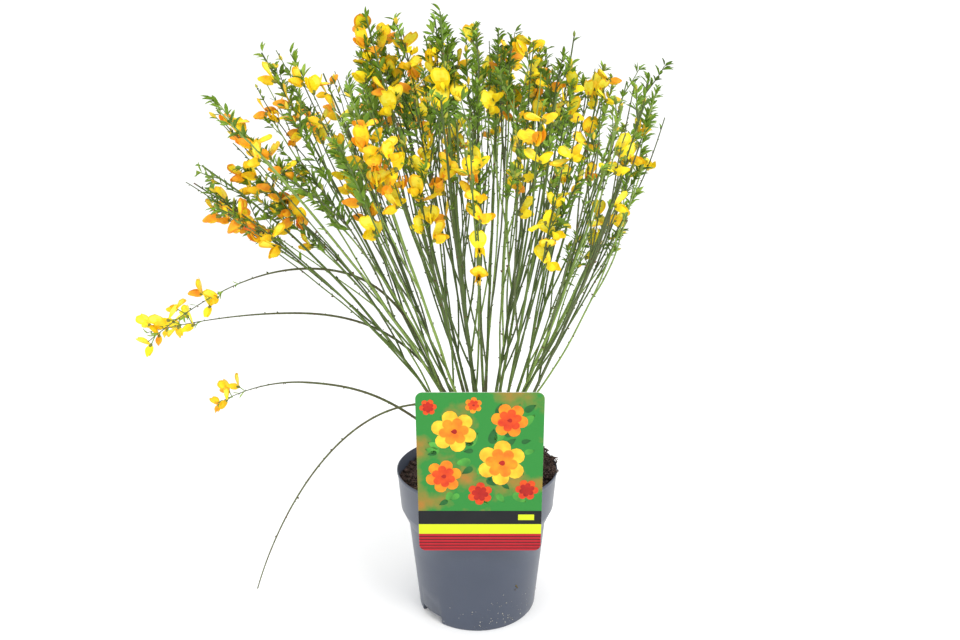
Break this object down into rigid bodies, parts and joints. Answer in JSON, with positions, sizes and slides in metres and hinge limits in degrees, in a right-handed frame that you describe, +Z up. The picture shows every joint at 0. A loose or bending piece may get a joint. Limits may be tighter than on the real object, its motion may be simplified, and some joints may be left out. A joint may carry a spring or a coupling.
{
  "type": "potted flowering broom",
  "caption": "Flowering broom shrub in a round plastic nursery pot: slender upright green stems, orange and yellow pea flowers, a few arching stems, and a picture label on the rim.",
  "frame": {"origin": "centre of the pot's underside, on the floor it stands on", "axes": "+Z up; the label on the rim faces -Y; the arching stems lean out to -X"},
  "size_m": [0.5258, 0.3253, 0.6051],
  "materials": {
    "pot": "satin",
    "compost": "matte",
    "label": "satin",
    "trunk": "matte",
    "stems": "matte",
    "shoots": "matte"
  },
  "bodies": {
    "root": {"pot": "pot", "compost": "compost", "label": "label", "trunk": "trunk", "bough_left_low": "stems", "bough_left_high": "stems", "bough_left_front": "stems", "bough_front_left": "stems", "bough_front": "stems", "bough_front_right": "stems", "bough_right_front": "stems", "bough_right_high": "stems", "bough_right_low": "stems", "bough_right_back": "stems", "bough_back_right": "stems", "bough_back": "stems", "bough_back_left": "stems", "bough_left_back": "stems", "bough_inner_left": "stems", "bough_inner_front": "stems", "bough_inner_right": "stems", "bough_inner_back": "stems", "arch_high_rise": "stems", "arch_high_fall": "stems", "arch_middle_rise": "stems", "arch_middle_fall": "stems", "arch_low_rise": "stems", "arch_low_fall": "stems", "arch_drooping_rise": "stems", "arch_drooping_fall": "stems", "mass_left_low": "shoots", "mass_left_high": "shoots", "mass_left_front": "shoots", "mass_front_left": "shoots", "mass_front": "shoots", "mass_front_right": "shoots", "mass_right_front": "shoots", "mass_right_high": "shoots", "mass_right_low": "shoots", "mass_right_back": "shoots", "mass_back_right": "shoots", "mass_back": "shoots", "mass_back_left": "shoots", "mass_left_back": "shoots", "mass_inner_left": "shoots", "mass_inner_front": "shoots", "mass_inner_right": "shoots", "mass_inner_back": "shoots", "spray_arch_high": "shoots", "spray_arch_middle": "shoots", "spray_arch_low": "shoots"}
  },
  "joints": []
}
